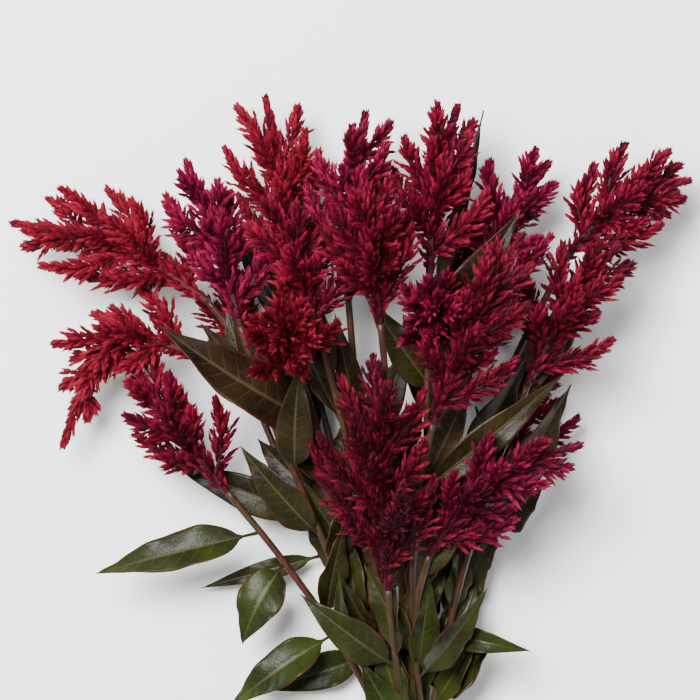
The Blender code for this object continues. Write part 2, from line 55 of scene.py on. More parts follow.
# Plumes
PLUME_SHARES = (0.0, 0.25, 0.5, 0.75, 1.0)
CORE_STEP = 12.0  # between two whorls of florets
CORE_SHARES = (0.0, 0.12, 0.35, 0.7, 0.92)
CORE_RADII = (2.5, 8.0, 10.5, 8.5, 6.0)
CORE_ROOM = 12.0  # the radius that plumes keep clear of each other
SPRAY_STEP = 11.0
SPRAY_SHARES = (0.0, 0.3, 0.6, 0.88, 1.0)
SPRAY_RADII = (4.2, 8.4, 7.4, 5.0, 3.8)
GOLDEN_ANGLE = math.radians(137.5)
SEAT_GAP = 0.3  # between a stem's top and the plume on it

# Leaves
LEAF_THICK = 0.8
BLADE_FROM = 0.12  # where the stalk ends, as a share of the length
LEAF_STATIONS = (0.0, 0.14, 0.36, 0.6, 0.84)
PETIOLE_HALF = 1.1
LEAF_FOLD = math.radians(14)
EDGE_WAVE = 0.055  # height, against the blade's half width
EDGE_WAVES = 5.2  # half waves along the edge
EDGE_SHIFT = 1.3  # between the two edges, in radians

# Placing
PAD = 0.45  # the distance kept from what is already there
# What is tried where a piece has no room: a leaf's widths, drops and turns, a spray's lengths,
# turns and pitches
LEAF_CHANGES = ((1.0, 0.8, 0.62), (0, 8, -8, 16, -16, 26), (0, 25, -25, 50, -50))
SPRAY_CHANGES = ((1.0, 0.85, 0.7, 0.55), (0, 0.35, -0.35, 0.7, -0.7), (1.0, 0.7, 1.25))
SAMPLES = 64  # along a flower, where it is pushed clear of the others

# Which plumes and stems have which colour
SCARLET_PLUMES = ("far_left", "top_left", "drooping_left", "round_left", "under_left")
MAGENTA_PLUMES = ("upper_left", "upper_right", "round_right", "low_right", "top_middle")
GREEN_STEMS = "low_left low_middle low_right right far_right round_right under_left".split()

Flower = namedtuple("Flower", "name base bend tip sprays reach")
Leaf = namedtuple("Leaf", "stem at tip width lift roll")

# One row for each flower: where its plume starts, bends and ends, how many side sprays it has,
# and how long the lowest of them are.
FLOWERS = (
    ("far_left", (-124, 294, 62), (-175, 332, 66), (-240, 341, 50), 10, 62),
    ("upper_left", (-103, 279, 92), (-115, 330, 98), (-134, 374, 96), 8, 46),
    ("top_left", (-67, 290, 44), (-75, 355, 46), (-88, 415, 44), 10, 66),
    ("top_middle", (-38, 294, 80), (-38, 354, 84), (-28, 404, 76), 9, 54),
    ("front_middle", (-19, 280, 118), (-24, 322, 136), (-26, 358, 142), 9, 48),
    ("top", (10, 310, 86), (12, 364, 86), (27, 408, 76), 9, 52),
    ("upper_right", (42, 292, 58), (56, 342, 58), (82, 376, 52), 8, 50),
    ("far_right", (94, 319, 58), (122, 358, 62), (167, 367, 50), 10, 52),
    ("right", (70, 243, 80), (92, 292, 84), (123, 325, 76), 9, 48),
    ("front_right", (10, 222, 112), (28, 276, 128), (63, 329, 124), 10, 54),
    ("round_right", (19, 268, 94), (16, 282, 126), (14, 296, 156), 10, 38),
    ("round_left", (-70, 258, 98), (-73, 268, 128), (-77, 281, 158), 12, 44),
    ("low_middle", (-14, 120, 80), (-20, 186, 114), (-20, 252, 122), 12, 72),
    ("low_right", (10, 141, 84), (38, 188, 106), (97, 206, 102), 9, 48),
    ("drooping_left", (-127, 260, 62), (-186, 286, 66), (-212, 208, 40), 10, 44),
    ("low_left", (-112, 178, 60), (-146, 218, 70), (-166, 252, 64), 9, 48),
    ("inner_left", (-56, 274, 106), (-68, 316, 116), (-83, 352, 110), 8, 46),
    ("under_right", (26, 262, 22), (40, 312, 20), (50, 360, 18), 7, 44),
    ("under_left", (-92, 222, 22), (-106, 268, 20), (-116, 316, 18), 7, 44),
    ("under_low", (58, 192, 22), (74, 236, 21), (92, 276, 18), 7, 40),
)
FLOWERS = [Flower(*row) for row in FLOWERS]
TIE_ROWS = (5, 6, 5, 4)  # stems in each row in the twine, from the surface up

# One row for each leaf that shows: the stem it grows on, the share of the stem's length, where
# its tip is, its width, how high its back arches, and its turn about its own length in degrees.
FRONT_LEAVES = (  # these lie over the plumes
    ("round_left", 0.80, (-150, 278, 100), 36, 12, 12),
    ("top", 0.88, (64, 347, 122), 25, 10, -30),
)
LEAVES = (  # and these lie between and under them
    ("low_left", 0.84, (-193, 127, 44), 25, 14, 20),
    ("low_left", 0.72, (-103, 84, 46), 28, 10, 0),
    ("low_left", 0.45, (-111, 44, 26), 24, 14, 10),
    ("under_left", 0.60, (-130, 116, 14), 12, 4, 0),
    ("under_left", 0.30, (-92, 52, 8), 22, 5, 0),
    ("top", 0.93, (45, 411, 58), 14, 4, 35),
    ("right", 0.92, (117, 338, 56), 16, 5, 20),
    ("right", 0.62, (97, 243, 66), 32, 8, 25),
    ("front_right", 0.80, (91, 250, 98), 20, 6, -20),
    ("under_low", 0.80, (82, 180, 40), 26, 6, 20),
    ("low_right", 0.85, (32, 186, 78), 20, 7, 20),
    ("far_right", 0.42, (62, 190, 72), 21, 7, -25),
    ("right", 0.34, (74, 80, 50), 14, 20, 0),
    ("far_right", 0.14, (50, 84, 54), 24, 8, 10),
    ("low_middle", 0.20, (-31, 76, 58), 22, 8, 0),
    ("top_middle", 0.74, (-46, 286, 92), 16, 4, 30),
    ("upper_left", 0.74, (-110, 292, 72), 15, 4, 35),
    ("low_middle", 0.55, (-67, 116, 70), 23, 8, 0),
    ("front_middle", 0.45, (-10, 128, 96), 18, 6, 0),
    ("inner_left", 0.86, (-68, 318, 92), 17, 5, 30),
    ("top_left", 0.92, (-110, 340, 34), 18, 5, 10),
    ("drooping_left", 0.55, (-150, 196, 30), 22, 6, 0),
    ("upper_right", 0.60, (72, 262, 30), 26, 8, 0),
    ("far_right", 0.75, (112, 300, 24), 24, 8, 0),
    ("low_middle", 0.08, (-4, 62, 50), 16, 8, 10),
    ("low_right", 0.40, (46, 120, 76), 20, 8, 20),
)
FRONT_LEAVES, LEAVES = ([Leaf(*row) for row in rows] for rows in (FRONT_LEAVES, LEAVES))
SPARE_LEAVES_TO = 3  # a stem with fewer leaves than this gets more, where they fit
SPARE_LEAF_LENGTH = 74.0
SPARE_LEAF_WIDTH = 22.0


def unit(vector):
    return vector / max(np.linalg.norm(vector), 1e-9)


def units(rows):
    return rows / np.maximum(np.linalg.norm(rows, axis=1), 1e-9)[:, None]


def distances(points):
    """How far along its line each point is."""
    return np.concatenate([[0], np.cumsum(np.linalg.norm(np.diff(points, axis=0), axis=1))])


def read_off(values, lengths, places):
    """The values, given at these lengths along a line, at other places along it."""
    return np.stack([np.interp(places, lengths, values[:, c]) for c in range(3)], axis=-1)


def turned(vector, axis, angle):
    """vector turned about a unit axis."""
    cos, sin = math.cos(angle), math.sin(angle)
    return vector * cos + np.cross(axis, vector) * sin + axis * (axis @ vector) * (1 - cos)


def bezier(corners, shares):
    """Points of a Bezier curve of any degree, one for each share of its length."""
    corners, shares = np.array(corners, float), np.array(shares, float)[:, None]
    degree = len(corners) - 1
    points = np.zeros((len(shares), 3))
    for k, corner in enumerate(corners):
        points += math.comb(degree, k) * shares**k * (1 - shares) ** (degree - k) * corner
    return points


def frames(points, first_side, last=None):
    """Directions along a line of points, and two across it that turn as little as they can."""
    steps = units(np.diff(points, axis=0))
    end = steps[-1:] if last is None else [last]
    along = units(np.vstack([steps[:1], steps[:-1] + steps[1:], end]))
    side, sides = np.array(first_side, float), []
    for direction in along:
        side = unit(side - direction * (side @ direction))
        sides.append(side)
    sides = np.array(sides)
    return along, sides, np.cross(along, sides)


def across(direction):
    """Some direction square to this one."""
    other = (0.0, 0.0, 1.0) if abs(direction[2]) < 0.9 else (1.0, 0.0, 0.0)
    return unit(np.cross(direction, other))


def solid(points, faces):
    """A closed shape as a tree of its faces, as only its crossings are asked for."""
    return BVHTree.FromPolygons(np.array(points).tolist(), faces)


def wrapped(levels, count, flat_end):
    """The triangles round rings of equally many points, and over one end or both."""
    faces = []
    for low in range(0, (levels - 1) * count, count):
        high = low + count
        for k in range(count):
            after = (k + 1) % count
            faces += [(low + k, low + after, high + k), (low + after, high + after, high + k)]
    faces += [(0, k + 1, k) for k in range(1, count - 1)]
    if flat_end:
        last = (levels - 1) * count
        faces += [(last, last + k, last + k + 1) for k in range(1, count - 1)]
    return faces


def lofted(rings, tip=None):
    """A solid through rings of equally many points, with a flat end or a tip."""
    count = len(rings[0])
    points = [point for ring in rings for point in ring]
    faces = wrapped(len(rings), count, tip is None)
    if tip is not None:
        last = len(points) - count
        points.append(tip)
        faces += [(last + k, last + (k + 1) % count, last + count) for k in range(count)]
    return solid(points, faces)


# The stems' places in the twine, and their way from there to the plumes


def tie_slots():
    """Where each stem crosses the twine: rows of a honeycomb, lying on the surface."""
    pitch = 2 * STEM_FLAT + STEM_GAP
    lowest = TWINE_THICK + TWINE_GAP + STEM_CORNER
    slots = []
    for row, count in enumerate(TIE_ROWS):
        height = lowest + row * pitch * math.sin(math.pi / 3)
        slots += [((k - (count - 1) / 2) * pitch, 0.0, height) for k in range(count)]
    return np.array(slots)


def slots_by_direction(slots):
    """Gives each flower the slot that lies its way, so that no two stems have to cross."""
    bases = np.array([flower.base for flower in FLOWERS], float)
    wanted = bases[:, [0, 2]] / bases[:, 1:2]
    places = slots[:, [0, 2]]
    wanted = (wanted - wanted.mean(0)) / wanted.std(0)
    places = (places - places.mean(0)) / places.std(0)
    cost = ((wanted[:, None] - places[None]) ** 2).sum(2)
    order = list(range(len(FLOWERS)))
    better = True
    while better:
        better = False
        for a, b in combinations(range(len(order)), 2):
            now = cost[a, order[a]] + cost[b, order[b]]
            if cost[a, order[b]] + cost[b, order[a]] < now - 1e-9:
                order[a], order[b] = order[b], order[a]
                better = True
    return slots[order]


def first_lines(slots):
    """Each flower's line of points, from the twine to the plume's tip."""
    lines = []
    for flower, slot in zip(FLOWERS, slots):
        base, bend, tip = np.array((flower.base, flower.bend, flower.tip), float)
        reach = np.linalg.norm(base - slot)
        start = slot + np.array((0.0, 0.3 * reach, 0.0))
        start[[0, 2]] += 0.1 * (base - slot)[[0, 2]]
        end = base - unit(bend - base) * 0.26 * reach
        edge = slot + np.array((0, TWINE_WIDTH / 2, 0))
        stem = bezier([edge, start, end, base], (0.0, *STEM_SHARES))
        towards, away = base + (bend - base) * 0.9, bend + (tip - bend) * 0.15
        plume = bezier([base, towards, away, tip], PLUME_SHARES)
        lines.append(np.vstack([stem, plume[1:]]))
    return np.array(lines)


def radii_along(samples):
    """The room that a stem and its plume need at each sample of their line."""
    knots = np.arange(STEM_POINTS + len(PLUME_SHARES) - 1, dtype=float)
    corner = STEM_CORNER + TWINE_GAP
    needed = [STEM_FLAT + STEM_GAP / 2, corner]
    needed += [corner + 0.3] * (STEM_POINTS - 3) + [corner + 0.6]
    needed += [CORE_ROOM, CORE_ROOM, CORE_ROOM * 0.8, CORE_ROOM * 0.4]
    return np.interp(samples, knots, needed)


def pushed_apart(lines, rounds=240):
    """Moves the lines until stems and plumes are clear of each other and of the surface."""
    count, knots = lines.shape[:2]
    samples = np.linspace(0, knots - 1, SAMPLES)
    low = np.minimum(samples.astype(int), knots - 2)
    share = samples - low
    weights = np.zeros((SAMPLES, knots))
    weights[np.arange(SAMPLES), low] = 1 - share
    weights[np.arange(SAMPLES), low + 1] += share
    owner = np.repeat(np.arange(count), SAMPLES)
    needed = np.tile(radii_along(samples), count)
    shift = np.zeros_like(lines)
    for turn in range(rounds):
        points = np.einsum("sk,ikc->isc", weights, lines + shift).reshape(-1, 3)
        apart = points[:, None] - points[None]
        distance = np.sqrt((apart**2).sum(2)) + 1e-6
        overlap = needed[:, None] + needed[None] - distance
        overlap[owner[:, None] == owner[None]] = 0
        overlap = np.maximum(overlap, 0)
        push = (apart / distance[..., None] * overlap[..., None]).sum(1) * 0.25
        push[:, 2] += np.maximum(needed - points[:, 2], 0)
        moved = np.einsum("sk,isc->ikc", weights, push.reshape(count, SAMPLES, 3))
        moved /= weights.sum(0)[None, :, None]
        shift += moved
        shift[:, 0] = 0
        if turn < rounds / 2:
            shift[:, 1:-1] += 0.2 * (shift[:, :-2] + shift[:, 2:] - 2 * shift[:, 1:-1])
    return lines + shift


# Stems and plumes as the CAD source makes them


def stem_line(line, slot, top, direction):
    """The stem's points, from its cut end through the twine to just under the plume."""
    foot = np.array((slot[0] * CUT_SPREAD, -CUT_LENGTH - 3 * math.sin(slot[0] + slot[2]), 0.0))
    lowest = TWINE_THICK + TWINE_GAP
    foot[2] = slot[2] * CUT_SPREAD - lowest * CUT_SPREAD - 0.35 * STEM_FLAT
    foot[2] = max(foot[2], STEM_CORNER)
    low_edge = slot - np.array((0, TWINE_WIDTH / 2, 0))
    return np.vstack([foot, low_edge, line[: STEM_POINTS - 1], top - direction * SEAT_GAP])


def tube(points, last):
    """A six-sided tube of one width to the twine, then with a slight taper up to the plume."""
    upper = np.linspace(STEM_FLAT, STEM_TOP, len(points) - 2)
    _, side, up = frames(points, (1.0, 0.0, 0.0), last)
    corner = 1 / math.cos(math.pi / STEM_SIDES)
    angles = (np.arange(STEM_SIDES) + 0.5) * 2 * math.pi / STEM_SIDES
    rings = []
    for centre, radius, x, z in zip(points, (STEM_FLAT, STEM_FLAT, *upper), side, up):
        out = [math.cos(a) * x + math.sin(a) * z for a in angles]
        rings.append([centre + radius * corner * way for way in out])
    return lofted(rings)


def smooth_line(knots, count):
    """This many points of a smooth curve through the knots."""
    knots = np.array(knots, float)
    ghost = np.vstack([2 * knots[0] - knots[1], knots, 2 * knots[-1] - knots[-2]])
    points = []
    for place in np.linspace(0, len(knots) - 1, count):
        k = min(int(place), len(knots) - 2)
        t = place - k
        a, b, c, d = ghost[k : k + 4]
        squared, cubed = 2 * a - 5 * b + 4 * c - d, 3 * b - a - 3 * c + d
        points.append(0.5 * (2 * b + (c - a) * t + squared * t**2 + cubed * t**3))
    return np.array(points)


def whorled(points, radii, sides, twist=0.0, pad=0.0):
    """A spike: rings of points, each turned half a step from the last, up to a tip."""
    _, side, up = frames(points, across(unit(points[1] - points[0])))
    rings = []
    for level in range(len(points) - 1):
        turn = twist + level * math.pi / sides
        ring = []
        for k in range(sides):
            angle = turn + k * 2 * math.pi / sides
            out = math.cos(angle) * side[level] + math.sin(angle) * up[level]
            point = points[level] + out * (radii[level] + pad)
            point[2] = max(point[2], 0.0)
            ring.append(point)
        rings.append(ring)
    tip = points[-1] + unit(points[-1] - points[-2]) * pad
    return lofted(rings, tip)


def plume_core(knots):
    """The middle spike of a plume, and its line of points."""
    length = np.linalg.norm(np.diff(knots, axis=0), axis=1).sum()
    count = max(5, round(length / CORE_STEP) + 1)
    return smooth_line(knots, count), np.interp(np.linspace(0, 1, count), CORE_SHARES, CORE_RADII)


def spray_line(core, share, azimuth, pitch, length):
    """A side spray's points: it leaves the core at an angle and sweeps up along it."""
    place = share * (len(core) - 1)
    k = min(int(place), len(core) - 2)
    root = core[k] + (core[k + 1] - core[k]) * (place - k)
    along = unit(core[k + 1] - core[k])
    out = turned(across(along), along, azimuth)
    first = along * math.cos(pitch) + out * math.sin(pitch)
    last = along * math.cos(pitch * 0.4) + out * math.sin(pitch * 0.4)
    middle = root + first * length * 0.5
    count = max(4, round(length / SPRAY_STEP) + 1)
    points = bezier([root, middle, middle + last * length * 0.5], np.linspace(0, 1, count))
    points[1:, 2] = np.maximum(points[1:, 2], 0.5 * SPRAY_RADII[1])
    return points


def spray_radii(count, length):
    """A spray is slim where it leaves the core, full at a third, and blunt below its tip."""
    radii = np.interp(np.linspace(0, 1, count), SPRAY_SHARES, SPRAY_RADII)
    return radii * min(1.0, 0.55 + length / 90)


# Leaves


def leaf_half_width(share, width):
    """Half the blade's width: a thin stalk, then an egg-shaped blade with a drawn-out tip."""
    if share <= BLADE_FROM:
        return PETIOLE_HALF
    blade = (share - BLADE_FROM) / (1 - BLADE_FROM)
    return PETIOLE_HALF * (1 - blade) + 0.5 * width * math.sin(math.pi * blade**0.62) ** 1.15


def leaf_frame(root, leaf):
    """The midrib's Bezier corners and the direction that the blade's upper side faces."""
    tip = np.array(leaf.tip, float)
    along = unit(tip - root)
    away = np.array((0.5 * (root + tip)[0], 0.0, 40.0))
    face = np.array((0.0, 0.0, 1.0)) + 0.4 * unit(away)
    face = unit(face - along * (face @ along))
    rise = face * leaf.lift * 1.3
    corners = [root, root + (tip - root) * 0.33 + rise, root + (tip - root) * 0.7 + rise, tip]
    return corners, turned(face, along, math.radians(leaf.roll))


def leaf_point(line, side, up, share, over, half, phase):
    """A point of the blade, which is folded and has waved edges; over is -1 to 1 across it."""
    turn = EDGE_WAVES * math.pi * share + phase + (EDGE_SHIFT if over > 0 else 0.0)
    wave = EDGE_WAVE * half * math.sin(turn)
    rise = abs(over) * half * math.sin(LEAF_FOLD) + over * over * wave * 3.0
    return line + side * over * half * math.cos(LEAF_FOLD) + up * rise


def leaf_blade(root, leaf, pad=0.0):
    """A leaf as a solid, with its lower faces split as the upper ones are."""
    corners, face = leaf_frame(root, leaf)
    line = bezier(corners, (*LEAF_STATIONS, 1.0))
    along, _, _ = frames(line, face)
    thick, phase = 0.5 * LEAF_THICK + pad, leaf.tip[0]
    points, faces = [], []
    for k, share in enumerate(LEAF_STATIONS):
        up = unit(face - along[k] * (face @ along[k]))
        side = np.cross(along[k], up)
        half = leaf_half_width(share, leaf.width) + pad
        top = [leaf_point(line[k], side, up, share, over, half, phase) for over in (-1, 0, 1)]
        ring = [point + up * thick for point in top] + [point - up * thick for point in top[::-1]]
        for point in ring:
            point[2] = max(point[2], 0.0)
        points += ring
    last = len(points) - 6
    for low in range(0, last, 6):
        high = low + 6
        for a in range(6):
            b = (a + 1) % 6
            if a in (3, 4):
                faces += [(low + a, low + b, high + b), (low + a, high + b, high + a)]
            else:
                faces += [(low + a, low + b, high + a), (low + b, high + b, high + a)]
    faces += [(0, 5, 1), (1, 5, 4), (1, 4, 2), (2, 4, 3)]
    faces += [(last + k, last + (k + 1) % 6, last + 6) for k in range(6)]
    points.append(line[-1] + along[-1] * pad)
    return solid(points, faces)


def on_stem(stem, share):
    """The point at this share of the stem's way from the twine to the plume."""
    upper = stem[2:]
    lengths = distances(upper)
    return read_off(upper, lengths, share * lengths[-1])


# Placing: what would cross another node's solid is turned, shortened or left out


class Bunch:
    """The lines of the stems and cores, and what is placed along them so far."""

    def __init__(self, slots):
        self.slots, self.stems, self.cores = slots, {}, {}
        self.solids = []
        self.leaves = {flower.name: [] for flower in FLOWERS}
        self.sprays = {flower.name: [] for flower in FLOWERS}

    def add(self, node, kind, made):
        self.solids.append((node, kind, made))

    def hits(self, made, skip):
        """Whether this solid crosses one that skip(node, kind) doesn't let it."""
        others = (other for node, kind, other in self.solids if not skip(node, kind))
        return any(made.overlap(other) for other in others)


def place_leaf(bunch, leaf):
    """Adds the leaf clear of everything but its own stem, if there is a place for it."""
    node = "stem_" + leaf.stem
    root = on_stem(bunch.stems[leaf.stem], leaf.at)
    for narrower, drop, roll in product(*LEAF_CHANGES):
        tip = (leaf.tip[0], leaf.tip[1], max(leaf.tip[2] + drop, 4.0))
        tried = leaf._replace(tip=tip, width=leaf.width * narrower, roll=leaf.roll + roll)
        grown = leaf_blade(root, tried, PAD)
        if not bunch.hits(grown, lambda other, kind: other == node and kind == "tube"):
            bunch.add(node, "leaf", leaf_blade(root, tried))
            bunch.leaves[leaf.stem].append(tried)
            return


def place_spray(bunch, name, share, azimuth, pitch, length, twist, slim=1.0):
    """Adds a side spray clear of the other nodes, if there is a place for it."""
    node = "plume_" + name
    core = bunch.cores[name]
    for shorter, turn, closer in product(*SPRAY_CHANGES):
        reach = length * shorter
        line = spray_line(core, share, azimuth + turn, pitch * closer, reach)
        radii = spray_radii(len(line), reach)
        grown = whorled(line, radii, 3, twist, PAD)
        if not bunch.hits(grown, lambda other, kind: other == node):
            bunch.add(node, "spray", whorled(line, radii, 3, twist))
            bunch.sprays[name].append((line, radii * slim))
            return


def plan():
    """The bunch with every piece of the CAD source in its place."""
    draw = random.Random(SEED)
    slots = slots_by_direction(tie_slots())
    lines = pushed_apart(first_lines(slots))
    bunch = Bunch(slots)
    bunch.add("twine", "twine", twine_solid(slots))
    for flower, slot, line in zip(FLOWERS, slots, lines):
        points, radii = plume_core(line[STEM_POINTS - 1 :])
        direction = unit(points[1] - points[0])
        stem = stem_line(line, slot, points[0], direction)
        bunch.stems[flower.name] = stem
        bunch.add("stem_" + flower.name, "tube", tube(stem, direction))
        bunch.cores[flower.name] = points
        bunch.add("plume_" + flower.name, "core", whorled(points, radii, 4))
    for leaf in FRONT_LEAVES:
        place_leaf(bunch, leaf)
    for flower in sorted(FLOWERS, key=lambda one: -one.tip[2]):
        for k in range(flower.sprays):
            share = 0.07 + 0.76 * (k + 0.3) / flower.sprays
            length = flower.reach * (1.14 - 0.8 * share) * draw.uniform(0.85, 1.1)
            pitch = math.radians(62 - 24 * share) * draw.uniform(0.88, 1.12)
            azimuth = k * GOLDEN_ANGLE + draw.uniform(-0.2, 0.2)
            place_spray(bunch, flower.name, share, azimuth, pitch, length, k)
    for leaf in LEAVES:
        place_leaf(bunch, leaf)
    for name, stem in bunch.stems.items():
        for _ in range(6):
            if len(bunch.leaves[name]) < SPARE_LEAVES_TO:
                place_leaf(bunch, spare_leaf(draw, name, stem))
    return bunch


def spare_leaf(draw, name, stem):
    """A leaf like the others, drawn for a stem that has too few."""
    at = draw.uniform(0.35, 0.85)
    root = on_stem(stem, at)
    heading = math.atan2(root[0], root[1] + 60) + draw.uniform(-0.7, 0.7)
    length = SPARE_LEAF_LENGTH * draw.uniform(0.75, 1.1)
    rise = draw.uniform(-0.35, 0.35)
    tip = root + length * np.array((math.sin(heading), math.cos(heading), rise))
    tip = (tip[0], tip[1], max(tip[2], 6.0))
    return Leaf(name, at, tip, SPARE_LEAF_WIDTH, 6, draw.uniform(-30, 30))


# The twine


def hull_outline(points):
    """The corners of the convex outline round points in a plane, anticlockwise."""
    points = sorted(map(tuple, points))

    def turns_right(a, b, c):
        return (b[0] - a[0]) * (c[1] - a[1]) - (b[1] - a[1]) * (c[0] - a[0]) <= 1e-6

    def half(ordered):
        chain = []
        for point in ordered:
            while len(chain) > 1 and turns_right(chain[-2], chain[-1], point):
                chain.pop()
            chain.append(point)
        return chain[:-1]

    return np.array(half(points) + half(points[::-1]))


def grown_outline(outline, by):
    """A convex outline with every side moved out by this much."""
    sides = units(np.roll(outline, -1, axis=0) - outline)
    out = np.stack([sides[:, 1], -sides[:, 0]], axis=1)
    before = np.roll(out, 1, axis=0)
    middle = out + before
    middle /= (1 + (out * before).sum(1))[:, None]
    return outline + middle * by


def stems_outline(slots):
    """The outline round all the stems where the twine holds them."""
    angles = (np.arange(STEM_SIDES) + 0.5) * 2 * math.pi / STEM_SIDES
    ring = STEM_CORNER * np.stack([np.cos(angles), np.sin(angles)], axis=1)
    return hull_outline((slots[:, None, [0, 2]] + ring[None]).reshape(-1, 2))


def twine_solid(slots):
    """A band with its hole shaped to the stems that it holds, and a flat underside."""
    outline = stems_outline(slots)
    inner = grown_outline(outline, TWINE_GAP)
    outer = grown_outline(inner, TWINE_THICK)
    count, half = len(outline), TWINE_WIDTH / 2 - 1.0
    points, faces = [], []
    for shape, y in ((inner, -half), (outer, -half), (outer, half), (inner, half)):
        points += [np.array((x, y, z)) for x, z in shape]
    for low in range(0, 4 * count, count):
        high = (low + count) % (4 * count)
        for k in range(count):
            after = (k + 1) % count
            faces += [(low + k, low + after, high + k), (low + after, high + after, high + k)]
    return solid(points, faces)


# Fine shapes that stand for the CAD pieces, built on the same lines

FLORET_STEP = 1.05  # from one small side spike to the next
FLORET_PITCH = math.radians(33)
TEPALS = 8
TEPAL_LENGTH = 6.0
TEPAL_WIDTH = 1.7
TEPAL_THICK = 0.55
TEPAL_FACES = np.array(((0, 2, 1), (0, 3, 2), (0, 1, 3), (4, 1, 2), (4, 2, 3), (4, 3, 1)))
TEPAL_TONE_AND_PAINTED_LIGHT = np.array((0.0, 0.45, 0.45, 0.5, 1.0))  # of its root, belly and tip: partly the tepal's own paler point, partly painted shade at its root and a painted highlight at its tip
TEPAL_SPREAD = 20  # lean of a small spike's lowest tepals, in degrees
TEPAL_CLOSING = 16  # how much less the top ones lean
SPIKE_LENGTHS = (0.85, 2.0)  # against the radius where it grows
CORE_STALK = (2.6, 0.7, 16)  # radii at its foot and its tip, and its number of rings
SPRAY_STALK = (1.5, 0.5, 9)
# painted shade: low tone and height give the stalks inside the plumes the deep foot colour
STALK_PAINTED_SHADE_TINT = (0.1, 0.1, 1.0, 1.0)
OWN_TONE_AND_PAINTED_LIGHT = 0.3  # of a tepal's brightness, which is partly own colour and partly painted shade and highlight, what is its own; the rest is its small spike's
PAINTED_SHADE_CENTRE = (-10.0, 190.0)  # painted shade: where the plumes are painted darkest, in the middle of the bunch, and how far from there this painted shade fades
PAINTED_SHADE_REACH = 190.0
# painted shade: the plumes' tone in the middle of the bunch, and out at its edge
PAINTED_SHADE_TONE = 0.24
UNSHADED_TONE = 0.52
# painted shade: the core, in the middle of its sprays, is painted this much darker
CORE_PAINTED_SHADE = 0.06
SPRAY_TONES = (-0.12, 0.14)  # what is added to a side spray's tone
SMALL_SPRAYS = 6  # more on each plume than the CAD has
SMALL_SPRAY_REACH = 0.62  # of the reach of the plume's own sprays
SMALL_SPRAY_PITCH = math.radians(66)
SMALL_SPRAY_SLIM = 0.8
INNER_LEAVES = 7  # tries on each stem, for the dark inside of the bunch
INNER_LEAF_LENGTHS = (44, 70)
INNER_LEAF_WIDTH = 19
FLOOR_CLEARANCE = 0.15
LEAF_ROWS = 40
LEAF_COLUMNS = 12
LEAF_SKIN = 0.45
VEIN_STEP = 0.085
GREEN_HUE, BRONZE_HUE = 0.82, 0.22  # of a stem's leaves, from bronze at 0 to green at 1
STEM_RIBS = 5
STEM_CORNERS = 15
CUT_BEVEL = 0.3  # at the edge of a stem's cut end
TWINE_TURNS = 7
TURNS_INSET = 2.0  # the CAD band is this much wider than the turns' path
PLY_RADIUS = 0.5
PLY_OFFSET = 0.38  # of each ply's middle from the twine's
PLY_TWIST = 1.5  # radians for each millimetre
FLORET_SHADES = {  # of a floret's foot, its middle and its point; the foot colour also serves as painted shade and the point colour partly as a painted highlight
    "scarlet": ((0.045, 0.0006, 0.004), (0.145, 0.003, 0.014), (0.225, 0.011, 0.023)),
    "crimson": ((0.024, 0.0003, 0.003), (0.103, 0.001, 0.011), (0.22, 0.006, 0.027)),
    "magenta": ((0.027, 0.0003, 0.004), (0.11, 0.001, 0.014), (0.25, 0.008, 0.045)),
}


def tepal_cloud(roots, ways, lengths, widths, shade, height):
    """Closed pointed slivers: the five points of each, and the points' tints."""
    helper = np.where(np.abs(ways[:, 2:3]) < 0.9, (0.0, 0.0, 1.0), (1.0, 0.0, 0.0))
    side = units(np.cross(ways, helper))
    keel = np.cross(side, ways)
    belly = roots + ways * (lengths * 0.42)[:, None]
    half = side * (widths / 2)[:, None]
    tips = roots + ways * lengths[:, None]
    points = [roots, belly - half, belly + half, belly + keel * TEPAL_THICK, tips]
    tint = np.ones((len(roots), 5, 4))
    tint[:, :, 0] = shade[:, None]
    # The green channel carries painted shade and a painted highlight along the small spike and the
    # tepal, partly their own colour.
    tint[:, :, 1] = height[:, None] + OWN_TONE_AND_PAINTED_LIGHT * TEPAL_TONE_AND_PAINTED_LIGHT
    return np.stack(points, axis=1), tint


